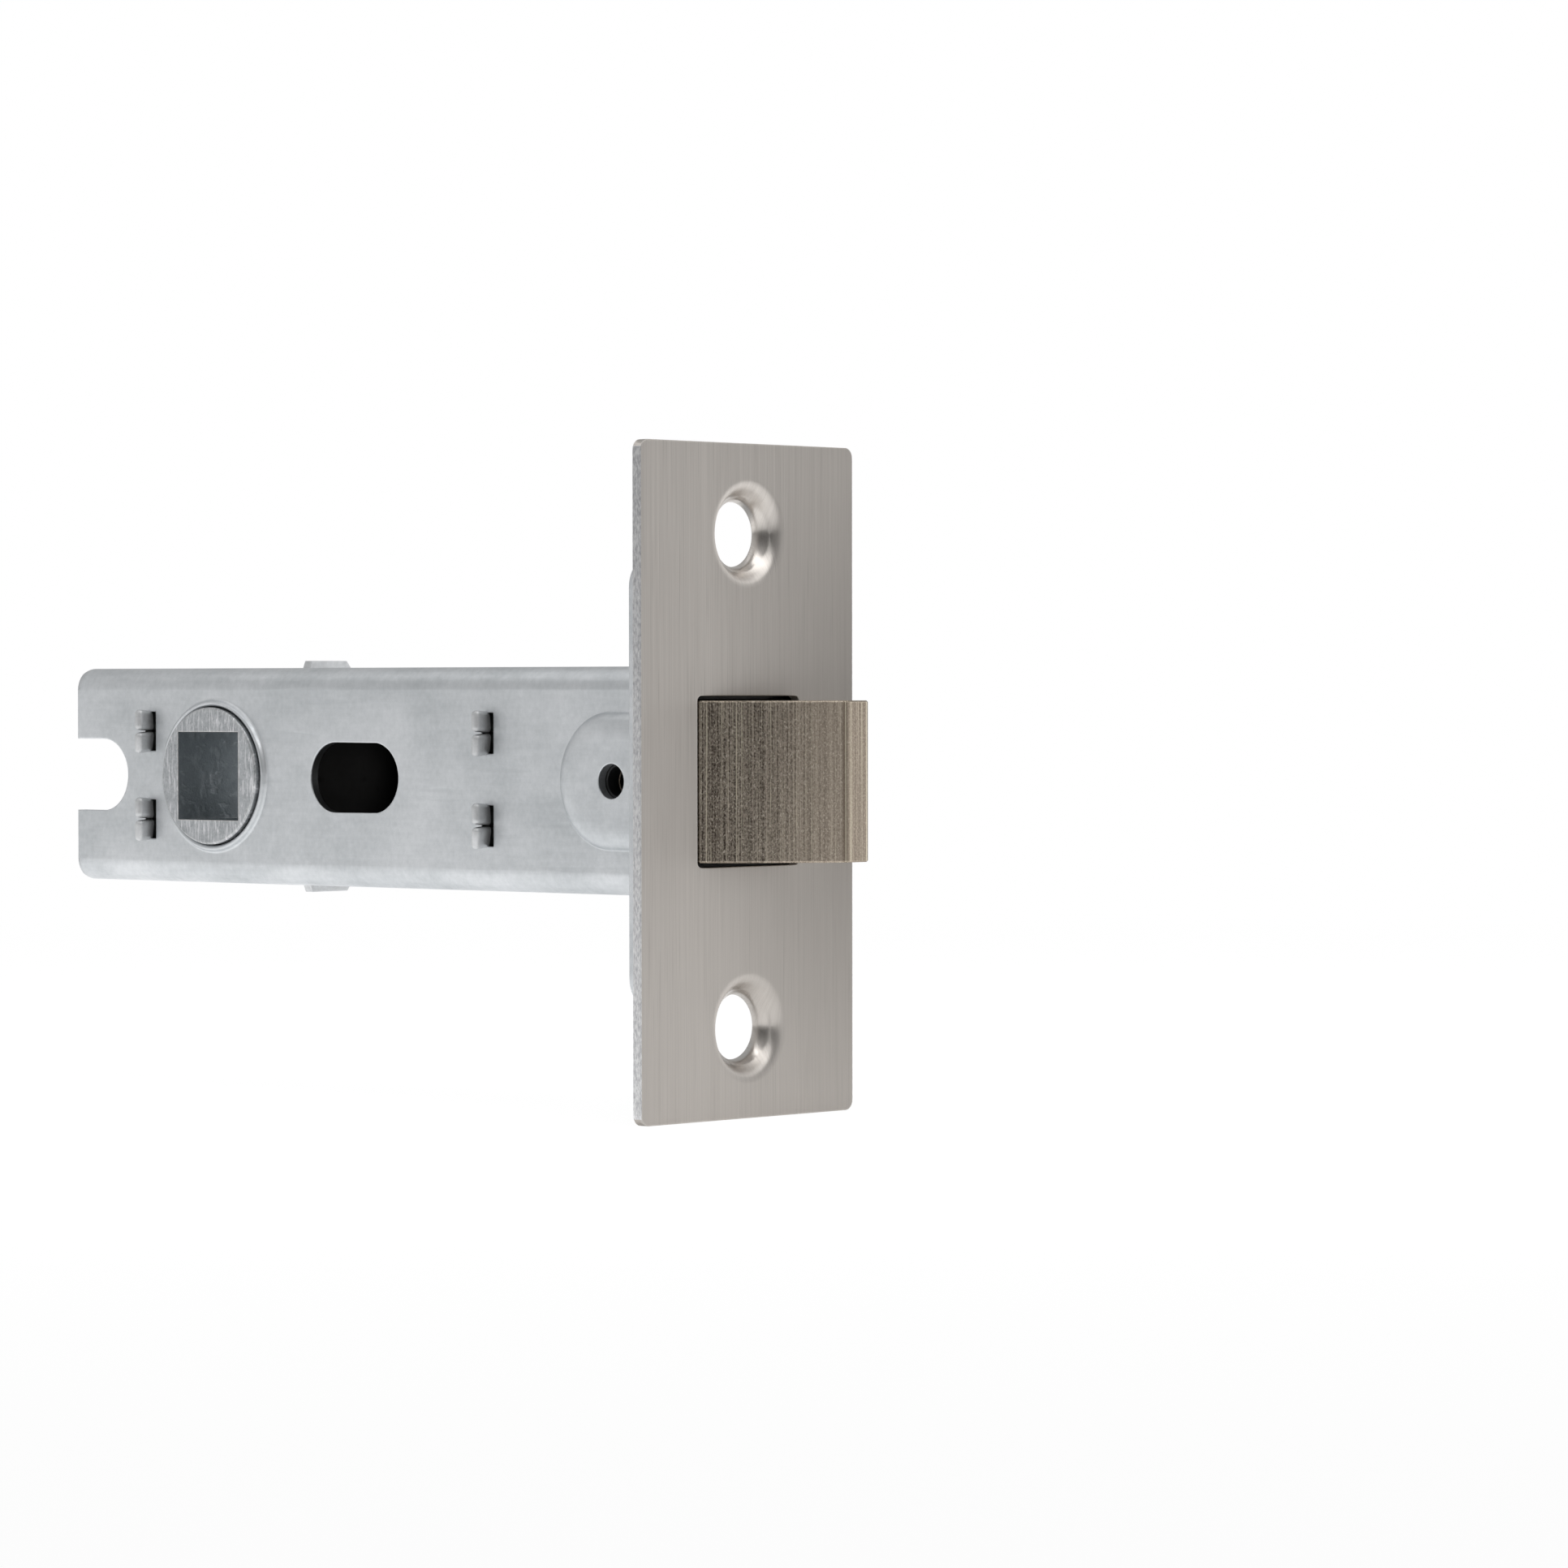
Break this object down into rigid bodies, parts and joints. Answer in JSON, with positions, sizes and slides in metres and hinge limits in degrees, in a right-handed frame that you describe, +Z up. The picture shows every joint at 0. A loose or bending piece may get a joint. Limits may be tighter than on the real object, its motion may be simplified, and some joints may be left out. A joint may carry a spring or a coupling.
{
  "type": "tubular door latch",
  "caption": "Tubular door latch: sheet steel case, brushed forend, bevelled spring bolt and square spindle hub that draws the bolt back through a sliding yoke.",
  "frame": {"origin": "centre of the forend's outer face, on the bolt's axis", "axes": "+X out of the door's edge along the bolt, +Y through the door from the side that the bevel faces, +Z up the door's edge"},
  "size_m": [0.0864, 0.0272, 0.0582],
  "materials": {
    "case_steel": "zinc plated sheet steel, satin",
    "satin_steel": "satin nickel, brushed along its length",
    "bolt_metal": "nickel plated drawn bar, sawn and dull",
    "hub_metal": "plated sintered metal, matt",
    "inner_steel": "plated steel",
    "spring_steel": "oiled spring wire",
    "black_nylon": "moulded nylon"
  },
  "bodies": {
    "case": {"case_channel": "case_steel", "case_cover": "case_steel", "front_bulkhead": "inner_steel", "rear_bulkhead": "inner_steel", "guide_plate": "inner_steel", "spring_pin_upper": "inner_steel", "spring_pin_lower": "inner_steel", "forend_plate": "satin_steel", "forend_backplate": "case_steel", "bolt_guide": "black_nylon", "hub_washer_near": "black_nylon", "hub_washer_far": "black_nylon", "return_spring_upper": "spring_steel", "return_spring_lower": "spring_steel", "bolt_spring": "spring_steel"},
    "hub": {"hub": "hub_metal"},
    "yoke": {"retractor_yoke": "inner_steel"},
    "bolt": {"bolt_head": "bolt_metal", "bolt_shank": "inner_steel", "bolt_pin": "inner_steel", "tail_washer": "inner_steel"}
  },
  "joints": [
    {"name": "bolt_slide", "type": "slide", "parent": "case", "child": "bolt", "axis": [-1, 0, 0], "range_m": [0, 0.0084], "stiffness_N_per_m": 300, "springref_m": -0.006, "deforming": ["bolt_spring"]},
    {"name": "yoke_slide", "type": "slide", "parent": "case", "child": "yoke", "axis": [-1, 0, 0], "range_m": [0, 0.00841], "deforming": ["return_spring_upper", "return_spring_lower"]},
    {"name": "hub_turn", "type": "hinge", "parent": "case", "child": "hub", "pos_m": [-0.0592, 0, 0], "axis": [0, -1, 0], "range_deg": [0, 65.1]}
  ],
  "couplings": [
    {"joint": "yoke_slide", "follows": "bolt_slide", "ratio": 1},
    {"joint": "hub_turn", "follows": "bolt_slide", "rad_per_m": 135.06}
  ]
}
